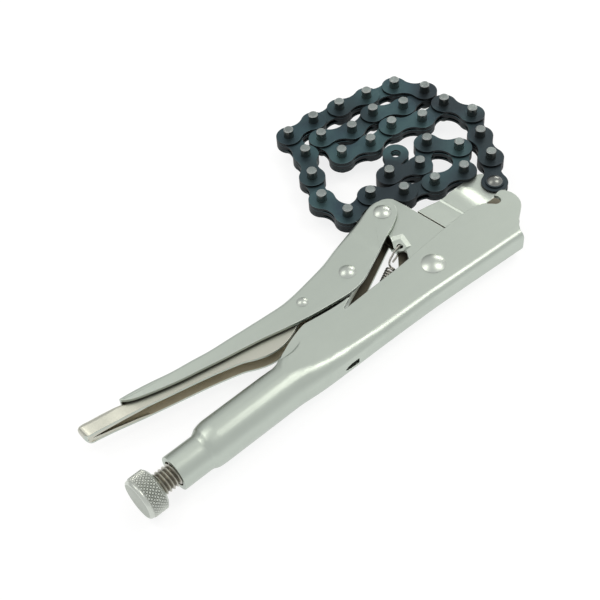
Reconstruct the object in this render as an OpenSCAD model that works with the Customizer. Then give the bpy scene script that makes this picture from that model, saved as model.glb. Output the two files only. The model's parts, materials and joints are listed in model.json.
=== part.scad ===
// Locking chain clamp: a sheet steel toggle tool whose jaw carries a coil of leaf chain.
// Millimetres. X runs from the knob to the hook, Y from the handle to the lever, Z up.

/* [Chain] */

// Distance between neighbouring chain pins
chain_pitch = 15.875; // [15.5:0.005:16.2]
// Diameter of the chain pins
pin_diameter = 4.8; // [4:0.1:5.4]
// Length of pin standing out of the stack on each side
pin_stand = 4.6; // [2:0.1:5.6]
// Radius of the round plate ends
plate_radius = 6.4; // [5.6:0.05:6.5]
// Half width of a plate at its waist
plate_waist = 4; // [3.4:0.1:4.8]
// Thickness of the inner and outer plates
plate_sheet = 1; // [0.8:0.05:1.2]
// Thickness of the centre plates and of the jaw's tongue
centre_sheet = 2; // [1.6:0.05:2.4]

/* [Handle] */

// Outer radius of the round grip
tube_radius = 9.6; // [9:0.1:10]
// Outer width of the folded channel
channel_width = 12.6; // [12.4:0.1:13.4]
// Thickness of the handle sheet
handle_sheet = 2; // [1.6:0.05:2.1]
// Radius of the drawn neck at the tail
neck_radius = 7.5; // [7:0.1:8]
// Length of the neck
neck_length = 15; // [12:0.5:18]
// Width of the hook notch
notch_width = 5.2; // [5:0.1:5.6]

/* [Lever] */

// Thickness of the lever sheet
lever_sheet = 1.6; // [1.4:0.05:1.8]
// Thickness of the release lever sheet
release_sheet = 1.2; // [1:0.05:1.4]
// Thickness of the toggle link
link_thickness = 5; // [4:0.1:5.4]
// Radius of the toggle link's round ends
link_radius = 5.4; // [4.6:0.1:5.6]

/* [Screw] */

// Outside diameter of the adjusting screw
screw_diameter = 9.6; // [9:0.1:10]
// Radius of the knob
knob_radius = 9.3; // [8:0.1:9.5]
// Length of the knob
knob_length = 8.8; // [7.6:0.1:10]

/* [Spring] */

// Thickness of the spring wire
wire = 1.1; // [0.9:0.05:1.2]
// Mean radius of the spring's coils
coil_radius = 1.45; // [1.3:0.05:1.6]
// Number of coils
coils = 26; // [20:1:27]

/* [Hidden] */

$fn = 48;

// Running clearance of pins in holes, and of flat faces that slide on each other
play = 0.05;
// Side clearance of a piece that moves inside a channel
side_play = 0.1;
// Half height of a cut or outline that goes right through
through = 30;

// Rivet centres, measured from the main rivet
main_at = [0, 0];
lever_at = [5.6, 38.6];
link_at = [-30.7, 23];
release_at = [-56.7, 24];
chain_at = [59.5, 18.2];

// The screw pushes the toggle link here, on the line through the two lever rivets
screw_y = -2.3;
toggle_x = link_at.x - (link_at.y - screw_y) * (lever_at.x - link_at.x) / (lever_at.y - link_at.y);
toggle_at = [toggle_x, screw_y];
toggle_angle = atan2(link_at.y - screw_y, link_at.x - toggle_x);
toggle_length = norm(link_at - toggle_at);

// Shank and head radii of the rivets
main_r = 4;
main_head = 5.6;
lever_r = 2.9;
lever_head = 4.25;
link_r = 2.7;
link_head = 3.95;
release_r = 1.7;
release_head = 2.6;
chain_r = pin_diameter / 2;
chain_head = 3.1;

// Direction of each chain link as the coil lies, in degrees from the X axis
heading = [50, 62, 58, 106, -178, 153, -174, 165, 87, -25, 6, -27, 3, 121, 164, 167,
    173, 178, -100, -120, -115, -82, 5, -37, -21, -15, 52, 124, -147, 159, 35];
links = len(heading);
function step(i) = chain_pitch * [cos(heading[i]), sin(heading[i])];
function walk(i, p, out) = i == links ? out : walk(i + 1, p + step(i), concat(out, [p + step(i)]));
pins = walk(0, chain_at, [chain_at]);

// Layers of the chain, measured from its middle plane
inner_low = centre_sheet / 2 + play;
inner_high = inner_low + plate_sheet;
outer_low = inner_high + play;
outer_high = outer_low + plate_sheet;
pin_half = outer_high + pin_stand;

// Half widths of the folded pieces, measured from the middle plane
channel_half = channel_width / 2;
channel_in = channel_half - handle_sheet;
jaw_half = channel_in - side_play;
jaw_sheet = 2;
jaw_in = jaw_half - jaw_sheet;
lever_in = channel_in;
lever_room = 0.4;
lever_half = lever_in + lever_sheet + lever_room;
lever_swell = 0.3;
release_half = lever_in - 2 * side_play;

// Handle: the lines along X that its folded section follows, from the neck to the head
tube_y = -1.25;
neck_x = -133.5;
neck_end = neck_x - neck_length;
tube_start = -127;
tube_x = -90;
head_end = 60;
shoulder_x = neck_x + 2;
shoulder_r = tube_radius - 0.9;
swell = tube_radius - channel_half;
shoulder_y = tube_y - 0.3;
web_line = [[neck_x - 1, screw_y - neck_radius], [shoulder_x, shoulder_y - shoulder_r],
    [tube_start, tube_y - tube_radius], [tube_x, tube_y - tube_radius], [-78, -12.1], [-66, -12.7],
    [-52, -12.9], [-40, -12.9], [-15, -13.2], [5, -14], [25, -15.1], [42, -16.1], [head_end, -17.1]];
wall_top = [[neck_x - 1, screw_y + neck_radius], [shoulder_x, shoulder_y + shoulder_r],
    [tube_start, tube_y + tube_radius], [tube_x, tube_y + tube_radius],
    [-84, 11], [-78, 15], [-72, 20], [-66, 25], [-60, 26]];
swell_line = [[tube_x, 1], [-84, 0.93], [-78, 0.77], [-72, 0.56], [-66, 0.35], [-60, 0.19],
    [-52, 0.07], [-44, 0]];
neck_line = [[neck_x - 1, neck_radius], [shoulder_x, shoulder_r], [tube_start, tube_radius]];
function half_at(x) = x < tube_start ? lookup(x, neck_line)
    : channel_half + swell * lookup(x, swell_line);
fold_line = [[tube_x, tube_radius], [-84, 9.1], [-78, 8.1], [-72, 7.1], [-66, 6.2], [-60, 5.4],
    [-52, 4.8], [-44, 4.3], [-25, 3.6], [0, 2.8], [20, 2.5]];
grip_x = [tube_start, -110, tube_x, -87, -84, -81, -78, -75, -72, -69, -66, -60, -52, -44, -32, -20,
    -8, 5, 25, 42];
outer_x = concat([neck_end, neck_x - 1, shoulder_x - 1, shoulder_x, shoulder_x + 2], grip_x, [head_end]);
inner_x = concat(grip_x, [head_end + 1]);

// Handle seen from the side: mouth, bump under the lever, back edge, hook and nose
nose_x = 42.2;
handle_side = [[-155, -20], [nose_x, -20], [nose_x, -13.6], [44.5, -10.6], [48.5, -7.2], [54, -3.2],
    [56, -0.6], [57, 2.8], [56.8, 5.9], [55.2, 9.4], [54.2, 10], [52.5, 10.2], [45, 9.3], [42.5, 9.7],
    [38.5, 11.1], [34.5, 11.7], [18.5, 11.4], [-11.5, 9.4], [-26.5, 9], [-41.5, 8.5], [-45.5, 8.8],
    [-47, 10], [-48, 13], [-56.5, 14.4], [-62, 15.2], [-64.5, 15.4], [-67, 15], [-71.5, 13.8],
    [-76.5, 12], [-82, 9.2], [-88, 6.7], [-92, 7.3], [-97, 8.4], [-98, 16], [-155, 16]];
// The head with its hook is a node of its own, parted from the long channel here
head_x = 18;
// Open seam along the top of the round grip: its width, and where it ends
seam = 0.8;
seam_end = tube_x - 6;
notch_at = [48, 7.5];
notch_angle = 131;

// Lever: line of its back, seen from the side, and its lower rim
back_line = [[-147, 38.9], [-140, 37.8], [-131, 36.2], [-121, 35], [-111, 33.9], [-102, 32.6],
    [-92, 31.9], [-82, 31.1], [-72, 30.4], [-64, 30], [-56, 30.7], [-51, 31.5], [-41, 33.3], [-36, 34.3],
    [-26, 37.4], [-17, 39.8], [-6, 43], [-1, 44.8], [4, 46.4], [14, 47]];
lever_x = [-147, -140, -131, -121, -111, -102, -92, -82, -72, -64, -56, -51, -41, -36, -26, -17, -13, -10,
    -6, 4, 14];
lever_side = [[-147, 37.6], [-146, 36.4], [-144.5, 35.2], [-141.5, 33.7], [-138, 32.4], [-131, 30.6],
    [-121, 28.3], [-111, 26.4], [-102, 24.6], [-92, 22.8], [-82, 20.9], [-72, 18.5], [-64, 16.7],
    [-56.5, 15.4], [-51, 14.7], [-41.5, 13.6], [-36.5, 13.4], [-31.5, 13.9], [-26.5, 15.4], [-21.5, 17.7],
    [-11.5, 22.4], [-1.5, 27.2], [2.5, 28.7], [8.9, 32], [6.2, 45.6], [3.5, 45.4], [-1.5, 43.9],
    [-6, 42.9], [-6, 50], [-147, 50]];
lever_end = 7;
web_stop = -6;

// Release lever: gap under the lever's back, room for its swing past the rivet, and its side
release_gap = 0.3;
release_swing = 7;
function back_in(x) = lookup(x, back_line) - lever_sheet;
tip_x = -166;
release_x = [-163, -160, -155, -151, -148, -140, -131, -121, -111, -102, -92, -82, -72, -64, -56, -46];
release_side = [[tip_x - 0.2, 40], [-165.9, 36.6], [-164.6, 34.6], [-150, 31.7], [-130, 27.2],
    [-110, 22.7], [-100, 20], [-95, 18.4], [-90, 15.9], [-85, 14.1], [-80, 13.4], [-75, 13.8],
    [-70, 15.3], [-64, 18], [-57, 19.6], [-51, 21], [-49, 23], [-48.6, 26], [-50, 50], [-160, 50],
    [-164.6, 44], [tip_x, 41.8]];
tail_x = lever_x[0] - 1;
tail_line = [[tip_x, 42.6], [-163, 43], [-160, 42.1], [-155, 40.4], [-151, 38.9],
    [tail_x, back_in(lever_x[0]) - release_gap]];
// How much the closed tip of the tail narrows on each side
tip_line = [[tip_x, 1.3], [tip_x + 1, 0.5], [tip_x + 3, 0]];
function release_drop(x) = max(0, x - release_at.x + 6) * tan(release_swing);
function release_back(x) = x <= tail_x ? lookup(x, tail_line)
    : back_in(x) - release_gap - release_drop(x);

// Jaw seen from the side, and its half thickness along X
jaw_side = [[-7.5, -5], [-4, -8], [3, -8.8], [16, -8], [26, -3], [36, 4], [44, 9.4], [50, 11], [54, 12.6],
    [58, 14], [58, 24], [55.5, 24.6], [50, 26.3], [40, 26.4], [29, 26], [19, 27.2], [17, 27.2],
    [15.6, 36.4], [14.9, 40.4], [12.6, 43.4], [9, 44.4], [5.6, 44.8], [1.5, 43.2], [-0.5, 40],
    [-0.8, 35], [-1.4, 27], [-2.6, 23.6], [-4.3, 20.8], [-4.4, 18.6], [-3, 16.9], [-1.8, 15.6],
    [-3.4, 12.6], [-5.2, 9.6], [-7.6, 6], [-8.6, 0]];
// From the crease on, the share of the nose's thickness that is left above the tongue
jaw_slope = [[33.4, 1], [36, 0.82], [39, 0.58], [42, 0.36], [45, 0.18], [48, 0.05], [51, 0]];
tongue_half = centre_sheet / 2;
nose_half = jaw_half - 0.5;
step_x = 17.4;
jaw_profile = concat([[-through, jaw_half], [step_x, jaw_half], [step_x + 0.6, nose_half]],
    [for (p = jaw_slope) [p.x, tongue_half + (nose_half - tongue_half) * p.y]],
    [[chain_at.x + 2 * plate_radius, tongue_half]]);
jaw_hollow = [[-20, -20], [12, -20], [28, -2], [28, 24], [17, 25], [13.4, 36], [12.6, 39.4], [8, 50],
    [-20, 50]];
ear_hole_at = [-1.6, 19.6];
ear_hole = 3;
// The ear is pressed in around its hole, as far as its left edge
ear_dish_at = [-0.2, 20.4];
ear_dish_r = 3.7;
ear_dish = 0.9;
ear_top = jaw_half - ear_dish;

// Spring: from the ear of the jaw to the tab lanced from the handle's web
tab_at = [-56.2, -7];
tab_width = 3;
tab_sheet = 1.6;
slot_length = 8;

// Screw and knob along X
nose_length = 7;
nose_tip = toggle_x - link_radius - 1.4;
nose_end = nose_tip - nose_length;
knob_gap = 9.2;
knob_front = neck_end - knob_gap;
knob_back = knob_front - knob_length;
screw_r = screw_diameter / 2;

// Row frame: middle of the whole part, standing on the grip
low_x = min(knob_back, tip_x);
high_x = max([for (p = pins) p.x]) + plate_radius;
low_y = lookup(nose_x, web_line);
high_y = max([for (p = pins) p.y]) + plate_radius;
origin = [(low_x + high_x) / 2, (low_y + high_y) / 2, -tube_radius];

function link_name(i) = str("link_", i < 10 ? "0" : "", i);

steel = [0.7, 0.72, 0.69];
bright = [0.8, 0.81, 0.8];
blued = [0.22, 0.27, 0.29];

module place() {
    translate(-origin) children();
}

// A closed section across X: half width, low and high Y, and the two corner radii
function corner(y, z, r, from) = [for (a = [from : 11.25 : from + 90]) [y + r * sin(a), z + r * cos(a)]];
function section(w, low, high, rl, rh) = concat(
    corner(low + rl, w - rl, rl, -90), corner(high - rh, w - rh, rh, 0),
    corner(high - rh, rh - w, rh, 90), corner(low + rl, rl - w, rl, 180));

module loft(xs, sections) {
    n = len(sections[0]);
    m = len(xs);
    points = [for (i = [0 : m - 1]) for (p = sections[i]) [xs[i], p.x, p.y]];
    sides = [for (i = [0 : m - 2]) for (j = [0 : n - 1]) each let (k = (j + 1) % n)
        [[i * n + j, i * n + k, (i + 1) * n + k], [i * n + j, (i + 1) * n + k, (i + 1) * n + j]]];
    ends = [[for (j = [n - 1 : -1 : 0]) j], [for (j = [0 : n - 1]) (m - 1) * n + j]];
    polyhedron(points, concat(sides, ends), convexity = 6);
}

function handle_fold(x, w, h) = min(lookup(x, fold_line), w - 0.1, h / 2 - 0.1);
function handle_section(x, t) =
    let (w = half_at(x), low = lookup(x, web_line), high = lookup(x, wall_top))
    let (r = max(0.5, handle_fold(x, w, high - low) - t)) section(w - t, low + t, high - t, r, r);

// The same stations with the two ends moved out, for the inside of a channel
function run_past(xs) = [for (i = [0 : len(xs) - 1]) xs[i] + (i == 0 ? -1 : i == len(xs) - 1 ? 1 : 0)];

// An outline seen from the side, carried right through
module from_side() {
    translate([0, 0, -through]) linear_extrude(2 * through) children();
}

// A solid round about an axis along X, from x0 to x1
module along_x(x0, x1, r, y = 0) {
    translate([x0, y, 0]) rotate([0, 90, 0]) cylinder(h = x1 - x0, r = r);
}

// A hole through everything along Z
module hole(at, r) {
    translate([at.x, at.y, -through]) cylinder(h = 2 * through, r = r);
}

// The whole folded handle with its lanced tab, before the head is parted from it
module folded_handle() {
    difference() {
        intersection() {
            difference() {
                loft(outer_x, [for (x = outer_x) handle_section(x, 0)]);
                loft(inner_x, [for (x = inner_x) handle_section(x, handle_sheet)]);
                along_x(neck_end - 1, tube_start + 5, screw_r + play, screw_y);
            }
            from_side() polygon(handle_side);
        }
        hole(main_at, main_r + play);
        from_side() translate(notch_at) {
            circle(d = notch_width);
            rotate(notch_angle) translate([0, -notch_width / 2]) square([12, notch_width]);
        }
        translate([tube_start, tube_y, -seam / 2]) cube([seam_end - tube_start, through, seam]);
        translate([tab_at.x - tab_sheet / 2 - slot_length, -through, -tab_width / 2])
            cube([slot_length, through + tab_at.y - 1, tab_width]);
    }
    difference() {
        translate([tab_at.x - tab_sheet / 2, lookup(tab_at.x, web_line) + 0.5, -tab_width / 2])
            cube([tab_sheet, tab_at.y + 2.2 - lookup(tab_at.x, web_line) - 0.5, tab_width]);
        along_x(tab_at.x - 2 * tab_sheet, tab_at.x + 2 * tab_sheet, wire / 2 + 0.3, tab_at.y);
    }
}

module handle() {
    color(steel) place() intersection() {
        folded_handle();
        translate([neck_end, -through, -through]) cube([head_x - neck_end, 2 * through, 2 * through]);
    }
}

module handle_head() {
    color(steel) place() intersection() {
        folded_handle();
        translate([head_x, -through, -through]) cube(2 * through);
    }
}

module jaw() {
    color(steel) place() {
        difference() {
            intersection() {
                union() {
                    from_side() polygon(jaw_side);
                    hole(chain_at, plate_radius - 0.6);
                }
                rotate([-90, 0, 0]) translate([0, 0, -through]) linear_extrude(3 * through)
                    polygon(concat(jaw_profile, [for (k = [len(jaw_profile) - 1 : -1 : 0])
                        [jaw_profile[k].x, -jaw_profile[k].y]]));
            }
            translate([0, 0, -jaw_in]) linear_extrude(2 * jaw_in) polygon(jaw_hollow);
            translate([ear_dish_at.x, ear_dish_at.y, ear_top]) hull() {
                cylinder(h = 2, r1 = ear_dish_r, r2 = ear_dish_r + 2.2);
                translate([-4, -1.2, 0]) cylinder(h = 2, r1 = ear_dish_r, r2 = ear_dish_r + 2.2);
            }
            hole(main_at, main_r + play);
            hole(lever_at, lever_r + play);
            hole(chain_at, chain_r + play);
            hole(ear_hole_at, ear_hole / 2);
        }
    }
}

lever_fold = 2.4;
function lever_swell_at(x) = x < -12 ? lever_swell : 0;
function lever_section(x, t) = section(lever_half + lever_swell_at(x) - t,
    -through - t, lookup(x, back_line) - t, 0.5, max(0.4, lever_fold - t));

module lever() {
    color(steel) place() {
        difference() {
            intersection() {
                difference() {
                    loft(lever_x, [for (x = lever_x) lever_section(x, 0)]);
                    loft(run_past(lever_x), [for (x = lever_x) lever_section(x, lever_sheet)]);
                    translate([web_stop, 0, lever_sheet - lever_half])
                        cube([2 * through, 3 * through, 2 * (lever_half - lever_sheet)]);
                }
                from_side() {
                    polygon(lever_side);
                    translate(lever_at) circle(r = lever_end);
                }
            }
            hole(lever_at, lever_r + play);
            hole(link_at, link_r + play);
            hole(release_at, release_r + play);
        }
    }
}

release_fold = 1.8;
function release_section(x, t) = section(release_half - lookup(x, tip_line) - t,
    -through - t, release_back(x) - t, 0.5, max(0.3, release_fold - t));
release_out_x = concat([tip_x, tip_x + 1], release_x);
release_in_x = concat([tip_x + release_sheet], release_x, [release_x[len(release_x) - 1] + 1]);

module release_lever() {
    color(steel) place() {
        difference() {
            intersection() {
                difference() {
                    loft(release_out_x, [for (x = release_out_x) release_section(x, 0)]);
                    loft(release_in_x, [for (x = release_in_x) release_section(x, release_sheet)]);
                }
                from_side() polygon(release_side);
            }
            hole(release_at, release_r + play);
        }
    }
}

module toggle_link() {
    color(steel) place() {
        difference() {
            translate([toggle_at.x, toggle_at.y, -link_thickness / 2]) rotate(toggle_angle)
                linear_extrude(link_thickness) {
                    circle(r = link_radius);
                    translate([toggle_length, 0]) circle(r = link_radius);
                    translate([0, -link_radius]) square([toggle_length, 2 * link_radius]);
                }
            hole(link_at, link_r + play);
        }
    }
}

// The wire's path: up through the ear, over its edge, round the coils, through the tab
ear_point = [ear_hole_at.x, ear_hole_at.y, 0];
tab_point = [tab_at.x, tab_at.y, 0];
spring_axis = (tab_point - ear_point) / norm(tab_point - ear_point);
spring_side = cross([0, 0, 1], spring_axis);
spring_length = norm(tab_point - ear_point);
ear_lead = 11.5;
tab_lead = 5;
over_ear = ear_top + wire / 2 + 0.3;
function coil_at(k) = let (a = 45 * k, s = k / (8 * coils))
    ear_point + spring_axis * (ear_lead + s * (spring_length - ear_lead - tab_lead))
    + min(1, k / 6, (8 * coils - k) / 6) * coil_radius * (spring_side * sin(a) + [0, 0, 1] * cos(a));
wire_path = concat([for (p = [[0, 0, over_ear - 3.1], [0, 0, over_ear - 1.2], [-0.2, 0, over_ear - 0.4],
    [-0.8, -0.1, over_ear], [-3, -0.6, over_ear + 0.05], [-4.4, -0.9, over_ear - 0.3],
    [-5.6, -1.2, over_ear - 1.1], [-8.3, -1.9, 1.2], [-9.4, -2.9, 0.5]]) ear_point + p],
    [for (k = [0 : 8 * coils]) coil_at(k)],
    [tab_point + [1.6, 0, 0], tab_point + [-2.4, 0, 0]]);
turn_gap = min([for (k = [4 : 8 * coils - 12]) norm(coil_at(k) - coil_at(k + 8))]) - wire;
echo(least_spring_gap = turn_gap);

function unit(v) = v / norm(v);
function tangent(k) = unit(wire_path[min(k + 1, len(wire_path) - 1)] - wire_path[max(k - 1, 0)]);
function frames(k, u, out) = k == len(wire_path) ? out
    : let (t = tangent(k), v = unit(u - t * (u * t))) frames(k + 1, v, concat(out, [[v, cross(t, v)]]));

module return_spring() {
    ring = frames(0, [1, 0, 0], []);
    m = len(wire_path);
    points = [for (k = [0 : m - 1]) for (j = [0 : 5])
        wire_path[k] + wire / 2 * (ring[k][0] * cos(60 * j) + ring[k][1] * sin(60 * j))];
    sides = [for (k = [0 : m - 2]) for (j = [0 : 5]) each let (i = (j + 1) % 6)
        [[k * 6 + j, (k + 1) * 6 + j, (k + 1) * 6 + i], [k * 6 + j, (k + 1) * 6 + i, k * 6 + i]]];
    ends = [[for (j = [0 : 5]) j], [for (j = [5 : -1 : 0]) (m - 1) * 6 + j]];
    color(bright) place() polyhedron(points, concat(sides, ends), convexity = 20);
}

module screw_nose() {
    color(bright) place() difference() {
        along_x(nose_end, nose_tip, screw_r - 0.8, screw_y);
        translate([nose_tip, screw_y, 0]) rotate([0, 90, 0]) rotate_extrude()
            polygon([[screw_r - 1.8, 1], [screw_r + 1, 1], [screw_r + 1, -2], [screw_r - 0.8, -1]]);
    }
}

module screw_rod() {
    color(bright) place() along_x(knob_front - 1, nose_end - play, screw_r, screw_y);
}

module knob() {
    color(steel) place() difference() {
        translate([knob_back, screw_y, 0]) rotate([0, 90, 0]) rotate_extrude()
            polygon([[0, 0], [knob_radius - 1.2, 0], [knob_radius - 0.4, 0.3], [knob_radius, 1.2],
                [knob_radius, knob_length - 2], [knob_radius - 1.8, knob_length], [0, knob_length]]);
        along_x(knob_front - 1 - play, knob_front + 1, screw_r + play, screw_y);
    }
}

// A shank with a domed head at each end; half is the height of the head's flat underside
module rivet(at, r, head, half, rise) {
    ball = (head * head + rise * rise) / (2 * rise);
    color(bright) place() translate([at.x, at.y, 0]) {
        cylinder(h = 2 * half, r = r, center = true);
        for (s = [0, 1]) mirror([0, 0, s]) intersection() {
            translate([0, 0, half + rise - ball]) sphere(r = ball);
            translate([0, 0, half]) cylinder(h = rise + 1, r = head + 1);
        }
    }
}

module main_rivet() {
    rivet(main_at, main_r, main_head, channel_half + play, 1.7);
}

module lever_rivet() {
    rivet(lever_at, lever_r, lever_head, lever_half + play, 1.5);
}

module link_rivet() {
    rivet(link_at, link_r, link_head, lever_half + lever_swell + play, 1.4);
}

module release_rivet() {
    rivet(release_at, release_r, release_head, lever_half + lever_swell + play, 1);
}

module chain_rivet() {
    rivet(chain_at, chain_r, chain_head, inner_high + play, 1.5);
}

// One chain plate seen from above, its first hole at the origin and its second along X
waist_r = (pow(chain_pitch / 2, 2) + pow(plate_waist, 2) - pow(plate_radius, 2))
    / (2 * (plate_radius - plate_waist));
meet = plate_radius / (waist_r + plate_radius) * [chain_pitch / 2, waist_r + plate_waist];
module plate_shape() {
    difference() {
        union() {
            circle(r = plate_radius);
            translate([chain_pitch, 0]) circle(r = plate_radius);
            translate([meet.x, -meet.y]) square([chain_pitch - 2 * meet.x, 2 * meet.y]);
        }
        for (s = [-1, 1]) translate([chain_pitch / 2, s * (waist_r + plate_waist)]) circle(r = waist_r);
        circle(r = pin_diameter / 2 + play);
        translate([chain_pitch, 0]) circle(r = pin_diameter / 2 + play);
    }
}

module plate(low, high) {
    translate([0, 0, low]) linear_extrude(high - low) plate_shape();
}

module chain_pin() {
    rotate_extrude() polygon([[0, -pin_half], [pin_diameter / 2 - 0.5, -pin_half],
        [pin_diameter / 2, -pin_half + 0.5], [pin_diameter / 2, pin_half - 0.5],
        [pin_diameter / 2 - 0.5, pin_half], [0, pin_half]]);
}

module inner_link() {
    plate(inner_low, inner_high);
    plate(-inner_high, -inner_low);
}

module outer_link() {
    plate(outer_low, outer_high);
    plate(-outer_high, -outer_low);
    plate(-centre_sheet / 2, centre_sheet / 2);
    chain_pin();
    translate([chain_pitch, 0, 0]) chain_pin();
}

module chain_link(i) {
    color(blued) place() translate([pins[i - 1].x, pins[i - 1].y, 0]) rotate(heading[i - 1])
        if (i % 2 == 1) inner_link(); else outer_link();
}

handle();
handle_head();
jaw();
lever();
release_lever();
toggle_link();
return_spring();
screw_nose();
screw_rod();
knob();
main_rivet();
lever_rivet();
link_rivet();
release_rivet();
chain_rivet();
for (i = [1 : links]) chain_link(i);
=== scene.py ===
import json
import math

import bmesh
import bpy
import numpy as np
from mathutils import Matrix, Vector

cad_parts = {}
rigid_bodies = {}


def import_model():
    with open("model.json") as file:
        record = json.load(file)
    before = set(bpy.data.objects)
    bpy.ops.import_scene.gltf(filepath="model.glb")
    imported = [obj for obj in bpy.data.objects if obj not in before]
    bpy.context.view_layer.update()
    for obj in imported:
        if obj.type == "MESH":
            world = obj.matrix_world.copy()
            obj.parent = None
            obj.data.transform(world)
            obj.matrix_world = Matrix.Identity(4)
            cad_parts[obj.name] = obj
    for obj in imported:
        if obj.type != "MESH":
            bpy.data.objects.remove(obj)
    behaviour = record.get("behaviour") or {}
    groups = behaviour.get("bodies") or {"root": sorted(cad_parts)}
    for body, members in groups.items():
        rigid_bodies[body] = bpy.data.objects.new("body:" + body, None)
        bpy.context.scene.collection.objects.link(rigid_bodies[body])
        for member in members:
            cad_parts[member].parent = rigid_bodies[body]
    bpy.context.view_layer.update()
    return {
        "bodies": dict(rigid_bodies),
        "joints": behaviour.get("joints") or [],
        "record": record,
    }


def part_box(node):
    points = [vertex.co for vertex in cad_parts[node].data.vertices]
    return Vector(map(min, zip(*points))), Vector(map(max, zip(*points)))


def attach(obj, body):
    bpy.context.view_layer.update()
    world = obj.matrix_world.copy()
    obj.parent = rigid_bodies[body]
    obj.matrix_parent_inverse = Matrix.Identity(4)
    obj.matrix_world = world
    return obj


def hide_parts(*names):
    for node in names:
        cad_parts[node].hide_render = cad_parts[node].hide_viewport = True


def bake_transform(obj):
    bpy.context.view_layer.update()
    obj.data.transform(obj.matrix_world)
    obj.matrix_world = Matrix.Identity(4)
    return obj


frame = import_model()

MM = 0.001
scene = bpy.context.scene
pivot = {j["name"]: Vector(j["pos_m"]) for j in frame["joints"] if j.get("pos_m")}
main = pivot["jaw_pivot"]
to_row = Matrix.Translation(main) @ Matrix.Scale(MM, 4)


def from_main(place):
    """A place in the row frame, in millimetres from the main rivet."""
    return (place - main) / MM


def node_span(node):
    """Where a CAD node starts and ends along X, in millimetres from the main rivet."""
    return [(corner.x - main.x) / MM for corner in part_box(node)]


# Lines and curves


def smooth_line(knots):
    """A smooth line through the knots that never overshoots them."""
    x, y = np.array(knots, float).T
    h = np.diff(x)
    slope = np.diff(y) / h
    grade = np.zeros(len(x))
    for k in range(1, len(x) - 1):
        if slope[k - 1] * slope[k] > 0:
            w1, w2 = 2 * h[k] + h[k - 1], h[k] + 2 * h[k - 1]
            grade[k] = (w1 + w2) / (w1 / slope[k - 1] + w2 / slope[k])
    grade[0], grade[-1] = slope[0], slope[-1]

    def at(v):
        v = min(max(v, x[0]), x[-1])
        k = min(max(int(np.searchsorted(x, v)) - 1, 0), len(h) - 1)
        t = (v - x[k]) / h[k]
        return float(
            y[k] * (1 + 2 * t) * (1 - t) ** 2
            + h[k] * grade[k] * t * (1 - t) ** 2
            + y[k + 1] * t * t * (3 - 2 * t)
            + h[k] * grade[k + 1] * t * t * (t - 1)
        )

    return at


def flow(points, step=0.7):
    """A rounded line through the points, from the first to the last."""
    p = [np.array(q, float) for q in points]
    p = [2 * p[0] - p[1]] + p + [2 * p[-1] - p[-2]]
    out = []
    for a, b, c, d in zip(p, p[1:], p[2:], p[3:]):
        t1 = max(np.linalg.norm(b - a), 1e-6) ** 0.5
        t2 = t1 + max(np.linalg.norm(c - b), 1e-6) ** 0.5
        t3 = t2 + max(np.linalg.norm(d - c), 1e-6) ** 0.5
        for t in np.linspace(t1, t2, max(2, int(np.linalg.norm(c - b) / step) + 1), endpoint=False):
            a1 = (t1 - t) / t1 * a + t / t1 * b
            a2 = (t2 - t) / (t2 - t1) * b + (t - t1) / (t2 - t1) * c
            a3 = (t3 - t) / (t3 - t2) * c + (t - t2) / (t3 - t2) * d
            b1 = (t2 - t) / t2 * a1 + t / t2 * a2
            b2 = (t3 - t) / (t3 - t1) * a2 + (t - t1) / (t3 - t1) * a3
            out.append((t2 - t) / (t2 - t1) * b1 + (t - t1) / (t2 - t1) * b2)
    out.append(p[-2])
    return [tuple(map(float, q)) for q in out]


def arc(centre, r, first, last, count):
    """Points round a centre, from one angle to another in degrees."""
    turn = np.radians(np.linspace(first, last, count))
    return [(centre[0] + r * math.cos(a), centre[1] + r * math.sin(a)) for a in turn]


def spread(first, last, step):
    """Stations from first to last, about a step apart."""
    count = max(2, int(round((last - first) / step)) + 1)
    return list(np.linspace(first, last, count).round(4))


# Solids in millimetres from the main rivet

REACH = 30
ALONG = {
    "X": lambda p, h: (h, p[0], p[1]),
    "Y": lambda p, h: (p[0], h, p[1]),
    "Z": lambda p, h: (p[0], p[1], h),
}


def turn_out(bm):
    bmesh.ops.recalc_face_normals(bm, faces=bm.faces)


def mesh_of(build):
    """A mesh from a rule that adds its points and faces, with the faces turned outwards."""
    bm = bmesh.new()
    build(bm)
    turn_out(bm)
    mesh = bpy.data.meshes.new("work")
    bm.to_mesh(mesh)
    bm.free()
    return mesh


def wall(bm, a, b):
    """Faces between two rings of points."""
    for k in range(len(a)):
        n = (k + 1) % len(a)
        bm.faces.new((a[k], a[n], b[n], b[k]))


def slab(outline, low=-REACH, high=REACH, axis="Z"):
    """A flat outline carried along an axis, through the whole part unless told from where to where."""

    def build(bm):
        a, b = [[bm.verts.new(ALONG[axis](p, h)) for p in outline] for h in (low, high)]
        bm.faces.new(a)
        bm.faces.new(b)
        wall(bm, a, b)

    return mesh_of(build)


def round_bar(centre, r, low=-REACH, high=REACH, axis="Z", sides=64):
    return slab(arc(centre, r, 0, 360 - 360 / sides, sides), low, high, axis)


def wrapped(points):
    """The tightest solid round a cloud of points."""

    def build(bm):
        for p in points:
            bm.verts.new(p)
        bmesh.ops.convex_hull(bm, input=bm.verts)

    return mesh_of(build)


def fold_section(half, low, high, r_low, r_high, steps):
    """A closed section across X, as (y, z) points with rounded corners."""
    out = []
    for y, z, r, first in (
        (low + r_low, half - r_low, r_low, -90),
        (high - r_high, half - r_high, r_high, 0),
        (high - r_high, r_high - half, r_high, 90),
        (low + r_low, r_low - half, r_low, 180),
    ):
        for a in np.radians(np.linspace(first, first + 90, steps)):
            out.append((y + r * math.sin(a), z + r * math.cos(a)))
    return out


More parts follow.
